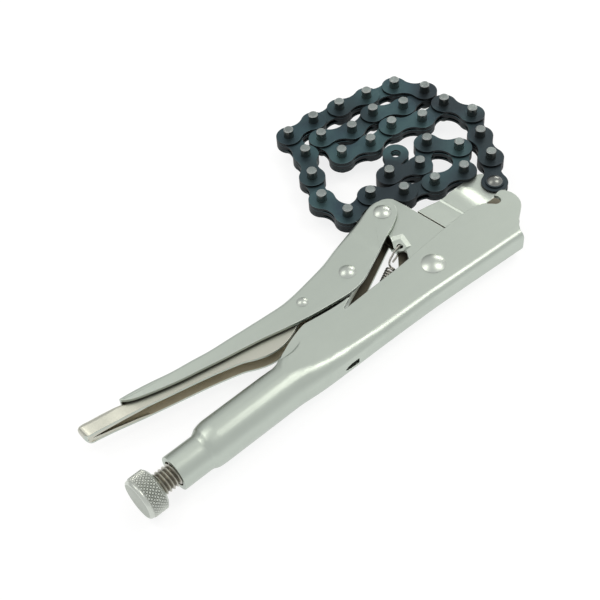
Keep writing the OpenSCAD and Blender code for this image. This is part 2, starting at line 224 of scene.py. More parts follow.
def loft(stations, section):
    """A skin through the section at each station along X, closed at both ends."""

    def build(bm):
        rings = [[bm.verts.new((x, y, z)) for y, z in section(x)] for x in stations]
        for a, b in zip(rings, rings[1:]):
            wall(bm, a, b)
        bm.faces.new(rings[0])
        bm.faces.new(rings[-1])

    return mesh_of(build)


def lathe_x(profile, sides=72):
    """A turned piece about X: the profile is (x, radius) pairs."""

    def build(bm):
        turn = np.linspace(0, 2 * math.pi, sides, endpoint=False)
        rings = []
        for x, r in profile:
            around = turn if r > 1e-6 else turn[:1]
            rings.append([bm.verts.new((x, r * math.cos(a), r * math.sin(a))) for a in around])
        for a, b in zip(rings, rings[1:]):
            for k in range(sides):
                n = (k + 1) % sides
                ring = [a[k % len(a)], a[n % len(a)], b[n % len(b)], b[k % len(b)]]
                ring = [v for i, v in enumerate(ring) if v not in ring[:i]]
                if len(ring) > 2:
                    bm.faces.new(ring)

    return mesh_of(build)


# Work on meshes


def placed(data, name="work"):
    obj = bpy.data.objects.new(name, data)
    scene.collection.objects.link(obj)
    return obj


def taken_off(obj):
    """The finished mesh of a work object, which is then removed."""
    bpy.context.view_layer.update()
    mesh = bpy.data.meshes.new_from_object(obj.evaluated_get(bpy.context.evaluated_depsgraph_get()))
    bpy.data.objects.remove(obj)
    return mesh


def modified(mesh, kind, **settings):
    """The mesh after one modifier."""
    obj = placed(mesh)
    modifier = obj.modifiers.new("work", kind)
    for label, value in settings.items():
        setattr(modifier, label, value)
    return taken_off(obj)


def reworked(mesh, *changes):
    """The same mesh after changes to its points and faces."""
    bm = bmesh.new()
    bm.from_mesh(mesh)
    for change in changes:
        change(bm)
    bm.to_mesh(mesh)
    bm.free()
    return mesh


def worked(mesh, others, how):
    """A solid cut by, joined to or kept inside others in turn; each keeps its own finish."""
    for other in others:
        for part in (mesh, other):
            if not part.materials:
                part.materials.append(satin_nickel)
        tool = placed(other)
        mesh = modified(mesh, "BOOLEAN", operation=how, object=tool, solver="EXACT", material_mode="TRANSFER")
        bpy.data.objects.remove(tool)
    return mesh


def cut(mesh, *others):
    return worked(mesh, others, "DIFFERENCE")


def kept_inside(mesh, *others):
    return worked(mesh, others, "INTERSECT")


def joined(mesh, *others):
    return worked(mesh, others, "UNION")


def shade(mesh, crease):
    """Smooth shading, broken where faces meet at more than the crease angle."""
    for p in mesh.polygons:
        p.use_smooth = True
    mesh.set_sharp_from_angle(angle=math.radians(crease))
    return modified(mesh, "WEIGHTED_NORMAL", keep_sharp=True, weight=60)


def clean_up(bm):
    bmesh.ops.remove_doubles(bm, verts=bm.verts, dist=0.03)
    bmesh.ops.dissolve_degenerate(bm, edges=bm.edges, dist=0.02)
    bmesh.ops.dissolve_limit(bm, angle_limit=math.radians(0.2), verts=bm.verts, edges=bm.edges)


def eased(mesh, width, crease=50):
    """Breaks the sharp edges and shades the rest smooth, up to the crease angle."""
    rounding = {"width": width, "segments": 2, "use_clamp_overlap": False, "miter_outer": "MITER_ARC"}
    sharp = {"limit_method": "ANGLE", "angle_limit": math.radians(38)}
    return shade(modified(reworked(mesh, clean_up), "BEVEL", **rounding, **sharp), crease)


def painted(mesh, material):
    mesh.materials.clear()
    mesh.materials.append(material)
    return mesh


def merged(*meshes):
    """Several meshes as one, with their materials."""
    bm = bmesh.new()
    mats = []
    for m in meshes:
        own = list(m.materials)
        first = len(bm.faces)
        bm.from_mesh(m)
        bm.faces.ensure_lookup_table()
        for f in bm.faces[first:]:
            mat = own[f.material_index]
            if mat not in mats:
                mats.append(mat)
            f.material_index = mats.index(mat)
    out = bpy.data.meshes.new("merged")
    bm.to_mesh(out)
    bm.free()
    for m in mats:
        out.materials.append(m)
    return out


def piece(name, mesh, body, slot, *nodes):
    """A finished piece in the row frame, riding its body, or fixed in the row frame where it lies between two.
    """
    mesh.transform(to_row)
    mesh.update()
    mesh.name = name
    obj = placed(mesh, name)
    if isinstance(body, str):
        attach(obj, body)
    else:
        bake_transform(obj)
    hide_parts(*nodes)


# Shading


class Weave:
    """A node tree and short ways to add to it."""

    def __init__(self, tree):
        self.tree = tree

    def add(self, kind, inputs=None, **settings):
        node = self.tree.nodes.new(kind)
        for label, value in settings.items():
            setattr(node, label, value)
        for label, value in (inputs or {}).items():
            self.put(node.inputs[label], value)
        return node

    def put(self, socket, value):
        if isinstance(value, bpy.types.NodeSocket):
            self.tree.links.new(value, socket)
        else:
            socket.default_value = value

    def math(self, how, *values):
        return self.add("ShaderNodeMath", dict(enumerate(values)), operation=how).outputs[0]

    def plus(self, a, b):
        return self.math("ADD", a, b)

    def minus(self, a, b):
        return self.math("SUBTRACT", a, b)

    def times(self, a, b):
        return self.math("MULTIPLY", a, b)

    def over(self, a, b):
        return self.math("DIVIDE", a, b)

    def blend(self, factor, a, b):
        return self.add("ShaderNodeMix", {0: factor, 6: a, 7: b}, data_type="RGBA").outputs[2]

    def span(self, *values):
        """A value between low and high, moved to lie between two others."""
        return self.add("ShaderNodeMapRange", dict(enumerate(values))).outputs[0]


def own_nodes(owner):
    """The emptied node tree of a material or a world."""
    owner.use_nodes = True
    owner.node_tree.nodes.clear()
    return Weave(owner.node_tree)


def effect_group(name, inputs, outputs):
    tree = bpy.data.node_groups.new(name, "ShaderNodeTree")
    for label, kind, value in inputs:
        socket = tree.interface.new_socket(name=label, in_out="INPUT", socket_type="NodeSocket" + kind)
        socket.default_value = value
    for label, kind in outputs:
        tree.interface.new_socket(name=label, in_out="OUTPUT", socket_type="NodeSocket" + kind)
    return Weave(tree), tree.nodes.new("NodeGroupInput").outputs, tree.nodes.new("NodeGroupOutput").inputs


def metal_skin():
    """Cloudy tone, fine blasted grain, faint handling lines, and edges lighter in the edge tone, partly wear
    and partly painted highlight.
    """
    w, come, go = effect_group(
        "metal_skin",
        [
            ("Tone", "Color", (0.4, 0.4, 0.4, 1)),
            ("Deep tone", "Color", (0.3, 0.3, 0.3, 1)),
            ("Edge tone", "Color", (0.7, 0.7, 0.7, 1)),
            ("Grain per metre", "Float", 2600.0),
            ("Grain depth", "Float", 0.1),
            ("Smooth", "Float", 0.28),
            ("Dull", "Float", 0.42),
            ("Edge width", "Float", 0.0004),
            ("Edge wear and highlight", "Float", 0.5),
        ],
        [("Color", "Color"), ("Roughness", "Float"), ("Normal", "Vector")],
    )
    place = w.add("ShaderNodeTexCoord").outputs["Object"]

    def noise(where, scale, **more):
        return w.add("ShaderNodeTexNoise", {"Vector": where, "Scale": scale, **more}).outputs[0]

    cloud = noise(place, 55.0, Detail=4.0, Roughness=0.6)
    grain = noise(place, come["Grain per metre"], Detail=3.0, Roughness=0.65)
    stretch = w.add("ShaderNodeMapping", {"Vector": place, "Scale": (60.0, 900.0, 900.0)}).outputs[0]
    lines = noise(stretch, 1.0, Detail=5.0)
    tone = w.blend(w.span(cloud, 0.35, 0.7, 0.0, 1.0), come["Tone"], come["Deep tone"])
    # Rounded edges turn towards the edge tone, broken by the grain: partly wear, partly painted highlight.
    rounded = w.add("ShaderNodeBevel", {"Radius": come["Edge width"]}, samples=4).outputs[0]
    flat = w.add("ShaderNodeNewGeometry").outputs["Normal"]
    along = w.add("ShaderNodeVectorMath", {0: rounded, 1: flat}, operation="DOT_PRODUCT").outputs["Value"]
    edge = w.span(along, 0.995, 0.9, 0.0, 1.0)
    broken = w.times(edge, w.span(grain, 0.3, 0.65, 0.35, 1.0))
    w.put(go["Color"], w.blend(w.times(broken, come["Edge wear and highlight"]), tone, come["Edge tone"]))
    sheen = w.math("MULTIPLY_ADD", lines, 0.5, w.times(cloud, 0.5))
    w.put(go["Roughness"], w.span(sheen, 0.3, 0.7, come["Smooth"], come["Dull"]))
    height = w.math("MULTIPLY_ADD", lines, 0.15, grain)
    bump = w.add("ShaderNodeBump", {"Strength": come["Grain depth"], "Distance": 0.0002, "Height": height})
    w.put(go["Normal"], bump.outputs[0])
    return w.tree


skin = metal_skin()


def metal(name, tone, deep, edge, smooth, dull, depth=0.1, edge_wear_and_highlight=0.5, metallic=1.0, groove_shade=None, stain=None):
    """A metal finish from the shared skin, with painted shade darker in the cut valleys of threads and knurls,
    and stained in broad patches where asked.
    """
    mat = bpy.data.materials.new(name)
    w = own_nodes(mat)
    tones = {"Tone": (*tone, 1), "Deep tone": (*deep, 1), "Edge tone": (*edge, 1)}
    use = w.add(
        "ShaderNodeGroup",
        {**tones, "Grain depth": depth, "Smooth": smooth, "Dull": dull, "Edge wear and highlight": edge_wear_and_highlight},
        node_tree=skin,
    )
    color = use.outputs["Color"]
    if stain:
        place = w.add("ShaderNodeTexCoord").outputs["Object"]
        broad = w.add("ShaderNodeTexNoise", {"Vector": place, "Scale": 26.0, "Detail": 1.0}).outputs[0]
        color = w.blend(w.span(broad, 0.47, 0.62, 0.0, 0.85), color, (*stain, 1))
    # Painted shade: the colour darkens towards the given dark tone with the depth of each cut valley.
    if groove_shade:
        deepness = w.add("ShaderNodeAttribute", attribute_name="groove_shade").outputs["Fac"]
        color = w.blend(w.span(deepness, 0.15, 0.95, 0.0, 1.0), color, (*groove_shade, 1))
    surface = w.add("ShaderNodeBsdfPrincipled", {"Metallic": metallic, "Base Color": color})
    for label in ("Roughness", "Normal"):
        w.put(surface.inputs[label], use.outputs[label])
    w.add("ShaderNodeOutputMaterial", {"Surface": surface.outputs[0]})
    mat.diffuse_color = (*tone, 1)
    return mat


satin_nickel = metal("satin_nickel", (0.515, 0.568, 0.513), (0.488, 0.54, 0.487), (0.8, 0.83, 0.77), 0.33, 0.42)
# Painted shade: the insides of the channels, the counterbore, the pressed slot and the turned edge under the
# tongue take this darker brown tone for the shade that falls in them.
shaded_inside_nickel = metal("shaded_inside_nickel", (0.27, 0.25, 0.19), (0.2, 0.185, 0.14), (0.4, 0.38, 0.31), 0.42, 0.55)
# Painted reflection: the release lever's nickel is tinted warm for the brown it reflects from its own hollow.
warm_reflection_nickel = metal("warm_reflection_nickel", (0.57, 0.575, 0.5), (0.53, 0.535, 0.465), (0.8, 0.8, 0.72), 0.33, 0.42)
# Painted light: the tail's open hollow is a lighter brown than the other insides, for the light that reaches
# into it.
lit_tail_inside = metal(
    "lit_tail_inside", (0.64, 0.58, 0.43), (0.52, 0.47, 0.34), (0.7, 0.65, 0.52), 0.5, 0.62, metallic=0.3
)
rivet_bright = metal(
    "rivet_bright", (0.54, 0.585, 0.535), (0.5, 0.54, 0.495), (0.78, 0.8, 0.76), 0.3, 0.37, depth=0.05
)
rivet_dark = metal(
    "rivet_dark", (0.25, 0.26, 0.25), (0.19, 0.2, 0.19), (0.5, 0.51, 0.5), 0.22, 0.32, depth=0.06
)
# The screw and the knurl are darker in their cut valleys: painted shade.
screw_bright = metal(
    "screw_bright", (0.6, 0.59, 0.53), (0.5, 0.49, 0.44), (0.85, 0.84, 0.79), 0.26, 0.36,
    edge_wear_and_highlight=0.4, groove_shade=(0.23, 0.215, 0.18),
)
knurl_nickel = metal(
    "knurl_nickel", (0.62, 0.655, 0.6), (0.56, 0.59, 0.545), (0.9, 0.91, 0.88), 0.3, 0.38,
    depth=0.03, edge_wear_and_highlight=0.3, groove_shade=(0.33, 0.345, 0.315),
)
# Painted shade: the knob's end face is darker than the knurl, standing in for the shadowed floor that it
# reflects.
shaded_knob_face = metal(
    "shaded_knob_face", (0.46, 0.495, 0.445), (0.41, 0.44, 0.395), (0.75, 0.77, 0.72), 0.4, 0.54, depth=0.2
)
wire_steel = metal("wire_steel", (0.42, 0.41, 0.37), (0.28, 0.27, 0.24), (0.7, 0.69, 0.65), 0.24, 0.34)
blued_plate = metal(
    "blued_plate", (0.077, 0.137, 0.145), (0.052, 0.083, 0.104), (0.16, 0.22, 0.23), 0.36, 0.48,
    depth=0.14, stain=(0.041, 0.05, 0.057),
)
sheared_edge = metal(
    "sheared_edge", (0.03, 0.035, 0.037), (0.022, 0.024, 0.026), (0.1, 0.13, 0.14), 0.42, 0.55,
    depth=0.2, edge_wear_and_highlight=0.25,
)
pin_side = metal("pin_side", (0.21, 0.22, 0.205), (0.12, 0.126, 0.117), (0.5, 0.53, 0.51), 0.24, 0.34, edge_wear_and_highlight=0.3)
pin_end = metal(
    "pin_end", (0.335, 0.38, 0.368), (0.22, 0.247, 0.24), (0.72, 0.75, 0.73), 0.34, 0.46, depth=0.35, edge_wear_and_highlight=0.9
)

# Rivet places and the holes they run in

rivets = {
    "main": ("jaw_pivot", 4.0),
    "lever": ("lever_open", 2.9),
    "link": ("toggle_pivot", 2.7),
    "release": ("release_pull", 1.7),
    "chain": ("chain_swing", 2.4),
}
rivet_at = {name: from_main(pivot[joint]) for name, (joint, r) in rivets.items()}
rivet_r = {name: r for name, (joint, r) in rivets.items()}
rivet_play = 0.05


def rivet_hole(name):
    return round_bar(rivet_at[name], rivet_r[name] + rivet_play)


# Handle: neck, round grip, folded channel, head with hook, notch and slanted nose

screw_y, screw_r, screw_play = -2.3, 5.25, 0.1
mouth_step, mouth_deep = 0.6, 2
grip_y, grip_r = -1.25, 9.6
channel_half, handle_sheet, least_fold, hair = 6.3, 2.0, 0.5, 0.02
neck_r, neck_end = 8.0, -149.2
grip_start, grip_end, head_end = -127.0, -90.0, 60
slit_end, slit_half = -96, 0.4
flange_from, flange_to, flange_inset, past_side, past_top = -94, -67, 1.5, 40, 25
tab_back, tab_front, tab_half, tab_hole_y, tab_hole_r = -57, -55.4, 1.5, -7, 0.85

web_line = smooth_line(
    [(neck_end, screw_y - neck_r), (-136, screw_y - neck_r), (-134.6, -10.45), (-133, -11.15), (-131, -11.5),
     (grip_start, -11.6), (grip_end, -11.6), (-78, -12.3), (-66, -12.75), (-52, -12.9), (-40, -12.9),
     (-15, -13.2), (5, -14), (25, -15.1), (42, -16.1), (61, -17.1)]
)
top_line = smooth_line(
    [(neck_end, screw_y + neck_r), (-134.8, screw_y + neck_r), (-133.4, 6.2), (-131.6, 7.4),
     (grip_start, grip_y + grip_r), (grip_end, grip_y + grip_r), (-84, 11), (-78, 15), (-72, 20), (-66, 25),
     (-60, 26), (61, 26.1)]
)
half_line = smooth_line(
    [(neck_end, neck_r), (-135, neck_r), (-133.6, 8.35), (-131.8, 9.1), (grip_start, grip_r),
     (grip_end, grip_r), (-84, 9.37), (-78, 8.84), (-72, 8.15), (-66, 7.46), (-60, 6.93), (-52, 6.53),
     (-44, channel_half), (61, channel_half)]
)
fold_line = smooth_line(
    [(neck_end, 9.6), (grip_end, 9.6), (-84, 9.1), (-78, 8.1), (-72, 7.2), (-66, 6.5), (-60, 5.9),
     (-52, 5.3), (-44, 4.9), (-25, 4.3), (0, 3.8), (20, 3.6), (61, 3.5)]
)
handle_side = (
    [(-155, -24), (42.2, -24)]
    + flow(
        [(42.2, -13.6), (44.5, -10.6), (48.5, -7.2), (54, -3.2), (56, -0.6), (57, 2.8), (56.8, 5.9),
         (55.2, 9.2), (53.9, 10.1), (52.3, 10.2), (50.3, 9.8), (45, 9.3), (42.5, 9.7), (38.5, 11.1),
         (34.5, 11.7), (18.5, 11.4), (-11.5, 9.4), (-26.5, 9), (-41.5, 8.5), (-45, 8.4), (-45.9, 8.7),
         (-45.2, 9.3), (-42.4, 10.7), (-40, 11.7), (-40.4, 12.2), (-43, 12.2), (-47.8, 12.4), (-51, 12.6),
         (-56, 13.1), (-62.8, 13.8), (-64.8, 13.9), (-66.6, 13.5), (-68.6, 12.9), (-71.8, 12),
         (-76.4, 10.4), (-82, 8), (-87, 6.1), (-92, 6.2), (-97, 7.6)]
    )
    + [(-98, 16), (-155, 16)]
)
shoulder = [-137, -136, -135.4, -134.8, -134.4, -134, -133.6, -133.2, -132.8, -132.4, -132, -131.6, -131.2]
shoulder += [-130.6, -129.8, -128.8, -127.8]
crease_line = smooth_line([(-95, 5.2), (-82.4, 5.2), (-78.6, 5.3), (-75.1, 6), (-72.4, 7.1), (-66, 9.6)])
flange_line = smooth_line(
    [(-95, 10.4), (-90, 9.1), (-86, 8.15), (-81, 7.75), (-76, 7.68), (-72, 7.72), (-68, 7.8), (-66, 7.9)]
)
notch_at, notch_r, notch_turn, notch_long = (48.0, 7.5), 2.6, 131.0, 12


def handle_ring(x, t):
    """The handle's section, a sheet's thickness further in where t is that thickness."""
    half, low, high = half_line(x) - t, web_line(x) + t, top_line(x) - t
    r = max(least_fold, min(fold_line(x), half_line(x) - hair, (high - low) / 2 + t - hair) - t)
    return fold_section(half, low, high, r, r, 12)


def flange_cut(aside, deeper):
    """What is pressed away so that the flat flange lies below the round grip, on one face and on the other."""

    def upper(x):
        y, z = crease_line(x) + aside, flange_line(x) - deeper
        ramp = [(y - 1, half_line(x) - deeper + 0.6), (y + 0.8, z)]
        return ramp + [(past_side, z), (past_side, past_top), (y - 1, past_top)]

    stations = spread(flange_from, flange_to, 1.0)
    return loft(stations, upper), loft(stations, lambda x: [(y, -z) for y, z in upper(x)])


def hook_notch():
    """A round seat for a chain pin, open along the notch's direction."""
    a = math.radians(notch_turn)
    across, on = (-math.sin(a), math.cos(a)), (math.cos(a), math.sin(a))
    outline = arc(notch_at, notch_r, notch_turn + 90, notch_turn + 270, 24)
    for side in (-1, 1):
        outline.append(tuple(notch_at[k] + on[k] * notch_long + side * across[k] * notch_r for k in (0, 1)))
    return slab(outline)


def make_handle():
    outer = loft([neck_end] + shoulder + spread(grip_start, head_end, 2.2), lambda x: handle_ring(x, 0))
    inner = loft(spread(grip_start, head_end + 1, 2.2), lambda x: handle_ring(x, handle_sheet))
    outer = cut(outer, *flange_cut(0, 0))
    # The inner skin and its flange cuts take the darker inside tone: painted shade inside the channel.
    inside_cuts = [painted(c, shaded_inside_nickel) for c in flange_cut(flange_inset, handle_sheet)]
    inner = cut(painted(inner, shaded_inside_nickel), *inside_cuts)
    bore = round_bar((screw_y, 0), screw_r + screw_play, neck_end - 1, grip_start + 5, "X")
    mouth = round_bar((screw_y, 0), screw_r + mouth_step, neck_end - 1, neck_end + mouth_deep, "X")
    # The counterbore at the mouth takes the darker inside tone: painted shade in the recess.
    body = cut(outer, inner, bore, painted(mouth, shaded_inside_nickel))
    body = kept_inside(body, slab(handle_side))
    slit = slab([(grip_start, 0), (slit_end, 0), (slit_end, 20), (grip_start, 20)], -slit_half, slit_half)
    half_lance = [(-63.2, 1.1), (-61, tab_half), (tab_back, tab_half)]
    lance = [(-65, 0)] + half_lance + [(x, -z) for x, z in reversed(half_lance)]
    body = cut(body, rivet_hole("main"), hook_notch(), slit, slab(lance, -20, -8, "Y"))
    tab = slab(
        [(tab_back, -11.9), (tab_front, -11.9), (tab_front, -4.8), (tab_back, -4.8)], -tab_half, tab_half
    )
    return joined(body, cut(tab, round_bar((tab_hole_y, 0), tab_hole_r, -62, -52, "X", 24)))


piece("handle_shell", eased(make_handle(), 0.28), "handle", "nickel_steel", "handle", "handle_head")

# Lever: a channel open towards the handle, joggled in near its rivet, with a round end

lever_sheet, lever_fold, lever_end, lever_front = 1.6, 2.4, -145.4, 14
lever_head_r, lever_head_from, lever_fork_half = 7, -6, 4.7
back_line = smooth_line(
    [(lever_end, 39.4), (-140, 38.8), (-131, 37.3), (-121, 35.2), (-111, 33.9), (-102, 32.6), (-92, 31.9),
     (-82, 31.1), (-72, 30.4), (-64, 30), (-56, 30.7), (-51, 31.5), (-41, 33.3), (-36, 34.3), (-26, 37.4),
     (-17, 39.8), (-6, 43), (-1, 44.8), (4, 46.4), (lever_front, 47)]
)
joggle = smooth_line([(-148, 6.6), (-17, 6.6), (-11, 6.3), (lever_front, 6.3)])
lever_rim = flow(
    [(lever_end, 37.9), (-144.9, 36.9), (-143.7, 35.8), (-141.4, 34.5), (-138, 33.2), (-131, 31),
     (-121, 28.4), (-111, 26.4), (-102, 24.6), (-92, 22.8), (-82, 20.9), (-72, 18.5), (-64, 16.7),
     (-56.5, 15.4), (-51, 14.7), (-41.5, 13.6), (-36.5, 13.4), (-31.5, 13.9), (-26.5, 15.4), (-21.5, 17.7),
     (-11.5, 22.4), (-1.5, 27.2), (2.5, 28.7), (8.9, 32.4)]
)
lever_back = [(6.2, 45.57), (3.5, 45.3), (-1.5, 43.9), (-5.9, 42.95), (lever_head_from, 52), (lever_end, 52)]


def lever_ring(x, t):
    return fold_section(joggle(x) - t, -REACH - t, back_line(x) - t, 0.5, max(0.4, lever_fold - t), 8)


def make_lever():
    stations = spread(lever_end, lever_front, 2.5)
    inside = [stations[0] - 1] + stations[1:-1] + [stations[-1] + 1]
    own = dict(zip(inside, stations))
    # The lever's hollow takes the darker inside tone: painted shade.
    hollow = painted(loft(inside, lambda x: lever_ring(own[x], lever_sheet)), shaded_inside_nickel)
    fork = [(lever_head_from, 0), (40, 0), (40, 80), (lever_head_from, 80)]
    body = cut(loft(stations, lambda x: lever_ring(x, 0)), hollow)
    body = cut(body, slab(fork, -lever_fork_half, lever_fork_half))
    round_end = round_bar(rivet_at["lever"], lever_head_r, -REACH - 1, REACH + 1)
    body = kept_inside(body, joined(slab(lever_rim + lever_back), round_end))
    return cut(body, *[rivet_hole(name) for name in ("lever", "link", "release")])


piece("lever_channel", eased(make_lever(), 0.25), "lever", "nickel_steel", "lever")

# Release lever: a lighter channel inside the lever, its tail standing out behind

release_half, release_sheet, release_play, tip_x, tail_from = 4.1, 1.2, 0.3, -166.0, -144
droop, droop_before = math.tan(math.radians(7)), 6
lip_thick, lip_inset = 1.1, 0.3
tail_line = smooth_line(
    [(tip_x, 41.6), (-164.8, 42.2), (-163, 42.4), (-161, 42), (-154, 40.9), (-150, 39.7), (-147, 38.4),
     (-145.4, 37.6), (-143, 37.2), (-140, 36.9)]
)
tail_fold = smooth_line([(tip_x, 1.4), (-165.3, 2), (-163, 3), (-153, 3.3), (-146, 1.8), (-40, 1.8)])
tip_taper = smooth_line(
    [(tip_x, 2.5), (-165.75, 1.95), (-165.3, 1.5), (-164.6, 1.15), (-163, 0.9), (-155, 0.7), (-146, 0.2),
     (-140, 0), (-40, 0)]
)
lip_width = smooth_line([(-163, 2.9), (-158, 2.3), (-150, 1.9), (-142, 1.6), (-138, 1.0)])
lip_edge_points = [(-164.6, 34.6), (-161, 33.9), (-150, 31.7), (-130, 27.2), (-110, 22.7), (-100, 20)]
lip_edge = smooth_line(lip_edge_points + [(-97, 19.1)])
release_side = flow(
    [(tip_x - 0.2, 40.6), (tip_x - 0.2, 38), (-165.7, 36)]
    + lip_edge_points
    + [(-95, 18.4), (-90, 15.9), (-85, 14.1), (-80, 13.4), (-75, 13.8), (-70, 15.3), (-64, 18), (-57, 19.6),
       (-51, 21), (-49, 23), (-48.6, 26)]
) + [(-50, 52), (-160, 52), (-164.6, 44), (tip_x - 0.2, 43)]


def release_back(x):
    """The back follows the lever's inside, drooping in front of the release rivet."""
    if x <= tail_from:
        return tail_line(x)
    return back_line(x) - lever_sheet - release_play - max(0, x - rivet_at["release"].x + droop_before) * droop


def release_ring(x, t):
    half = release_half - tip_taper(x) - t
    return fold_section(half, -REACH - t, release_back(x) - t, 0.5, max(0.3, tail_fold(x) - t), 10)


def turned_lip(side):
    """The rim of the tail, turned inwards on one side."""

    def section(x):
        edge, out = lip_edge(x) + 0.15, release_half - tip_taper(x) - lip_inset
        low, high, near, far = edge, edge + lip_thick, side * out, side * (out - lip_width(x))
        return [(low, near), (high, near), (high, far), (low, far)]

    return eased(painted(loft(spread(-165.2, -138, 2.0), section), warm_reflection_nickel), 0.2)


def make_release():
    stations = [tip_x, -165.8, -165.6, -165.3, -165, -164.5, -164] + spread(-163, -46, 2.0)
    inside = [tip_x + release_sheet] + spread(-163, -45, 2.0)
    # The tail's hollow takes the lighter inside tone: painted light.
    hollow = painted(loft(inside, lambda x: release_ring(x, release_sheet)), lit_tail_inside)
    # The outside takes the warm tint: painted reflection.
    body = cut(painted(loft(stations, lambda x: release_ring(x, 0)), warm_reflection_nickel), hollow)
    body = cut(kept_inside(body, slab(release_side)), rivet_hole("release"))
    return merged(eased(body, 0.22), turned_lip(1), turned_lip(-1))


piece("release_channel", make_release(), "release", "nickel_steel", "release_lever")

# Jaw: two folded cheeks with an arm, an ear, and a nose that arches down to a tongue

jaw_half, jaw_in, tongue_half, tongue_r = 4.2, 2.2, 1.0, 5.8
jaw_reach, press_from, press_to = 20, -60, 90
step_deep = 1.1
ear_at, ear_hole_r = (-1.6, 19.6), 1.5
jaw_side = flow(
    [(-8.6, 0), (-7.5, -5), (-4, -8), (3, -8.8), (16, -8), (26, -3), (36, 4), (43, 9.2), (46, 11.2),
     (48, 11.9), (52, 12.1), (55, 12.1), (57, 12.6), (58, 13.4)]
) + flow(
    [(61.4, 23.6), (60.8, 25.6), (58.4, 27.8), (55, 29.1), (52, 29.3), (48, 28.7), (43.9, 27.9), (38, 27.3),
     (32, 26.9), (24.5, 28.1), (20, 28.7), (18.5, 29.1), (17.9, 32.4), (17.2, 36.4), (16.5, 40.5),
     (15.4, 43.4), (12.6, 45.6), (9, 46.3), (5.6, 45.6), (1.5, 43.4), (-0.5, 40), (-0.8, 35), (-1.4, 27),
     (-2.6, 23.6), (-4.3, 20.8), (-4.4, 18.6), (-3, 16.9), (-1.8, 15.6), (-3.4, 12.6), (-5.2, 9.6),
     (-7.6, 6), (-8.6, 0)]
)[:-1]
nose_fall = smooth_line(
    [(30, 3.7), (33, 3.55), (36, 3.45), (39, 3.38), (41.4, 3.18), (43.6, 2.74), (45.8, 2.06), (47.8, 1.5),
     (49.8, 1.15), (51.8, 1.03), (53, tongue_half), (80, tongue_half)]
)
jaw_hollow = [(-20, -20), (12, -20), (28, -2), (28, 24), (17, 25), (13.4, 36), (12.6, 39.4), (8, 50), (-20, 50)]
far_ear = [(-20, 9), (-5.6, 9), (-2.2, 14), (-1.6, 24), (-20, 24)]
far_cheek = [(-8.1, 12.4), (-7.3, 14.6), (-1.8, 20.7), (1.5, 21), (1.5, 8), (-6.4, 8)]
ear_dish = {
    3.3: [(1.7, 22.6), (0.2, 17.2), (-2.2, 16.8), (-9, 16.2), (-9, 24), (-1.5, 24)],
    5.1: [(6.5, 24.6), (3.2, 14), (-2.6, 14.4), (-11, 14.2), (-11, 27), (-0.5, 27.5)],
}
press_lean = Matrix(((1, -0.115, 0, 2.3), (0, 1, 0, 0), (0, 0, 1, 0), (0, 0, 0, 1)))


def leaning(mesh):
    """A pressed line across the jaw leans a little towards the hook, as its fold does."""
    mesh.transform(press_lean)
    return mesh


def pressed_lip(side):
    lip = [(31.7, 2), (31.7, 3.66), (32.5, 4.02), (32.9, 4.06), (33.1, 3.92), (33.3, 2)]
    return leaning(slab([(x, side * z) for x, z in lip], press_from, press_to, "Y"))


def pressed_step(low, high):
    across = [(19.2, press_from), (19.85, press_from), (19.85, press_to), (19.2, press_to)]
    # The step is cut with the darker inside tone, so it shows as a dark line: painted shade.
    return painted(leaning(slab(across, low, high)), shaded_inside_nickel)


def make_jaw():
    top = [(-20, jaw_half), (20.6, jaw_half), (28, 3.74), (29.8, 3.7)]
    top += [(x, nose_fall(x)) for x in np.arange(30.2, 53.4, 0.7)] + [(80, tongue_half)]
    thickness = slab(top + [(x, -z) for x, z in reversed(top)], press_from, press_to, "Y")
    tongue_end = round_bar(rivet_at["chain"], tongue_r, -jaw_reach - 1, jaw_reach + 1)
    side = joined(slab(jaw_side, -jaw_reach, jaw_reach), tongue_end)
    body = kept_inside(side, joined(thickness, pressed_lip(1), pressed_lip(-1)))
    # A turned edge under the tongue in the darker inside tone, put there so that the hook notch shows painted
    # shade.
    shaded_turned_edge = loft(spread(46, 57, 1.5), lambda x: [(12.3, 0.8), (12, 0.8), (10.2, -4.1), (12.3, -4.1)])
    body = joined(body, painted(shaded_turned_edge, shaded_inside_nickel))
    body = cut(body, slab(far_ear, -jaw_reach, jaw_in - 0.1))
    body = joined(body, slab(far_cheek, -jaw_half, 0))
    # The hollow between the cheeks and the pressed steps take the darker inside tone: painted shade.
    return cut(
        body,
        painted(slab(jaw_hollow, -jaw_in, jaw_in), shaded_inside_nickel),
        wrapped([(x, y, z) for z, outline in ear_dish.items() for x, y in outline]),
        pressed_step(jaw_half - step_deep, jaw_reach),
        pressed_step(-jaw_reach, step_deep - jaw_half),
        *[rivet_hole(name) for name in ("main", "lever", "chain")],
        round_bar(ear_at, ear_hole_r, 0.5),
    )


piece("jaw_cheeks", eased(make_jaw(), 0.2, crease=14), "jaw", "nickel_steel", "jaw")

# Toggle link between the lever and the screw

toggle_r, toggle_half = 5.4, 2.5


def make_toggle():
    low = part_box("toggle_link")[0]
    foot = Vector(((low.x - main.x) / MM + toggle_r, (low.y - main.y) / MM + toggle_r))
    head = rivet_at["link"].to_2d()
    way = math.degrees(math.atan2(head.y - foot.y, head.x - foot.x))
    side = arc(head, toggle_r, way - 90, way + 90, 24) + arc(foot, toggle_r, way + 90, way + 270, 24)
    return cut(slab(side, -toggle_half, toggle_half), rivet_hole("link"))


piece("toggle_bar", eased(make_toggle(), 0.4), "toggle", "nickel_steel", "toggle_link")

# Repeated and wound shapes, grown by geometry nodes


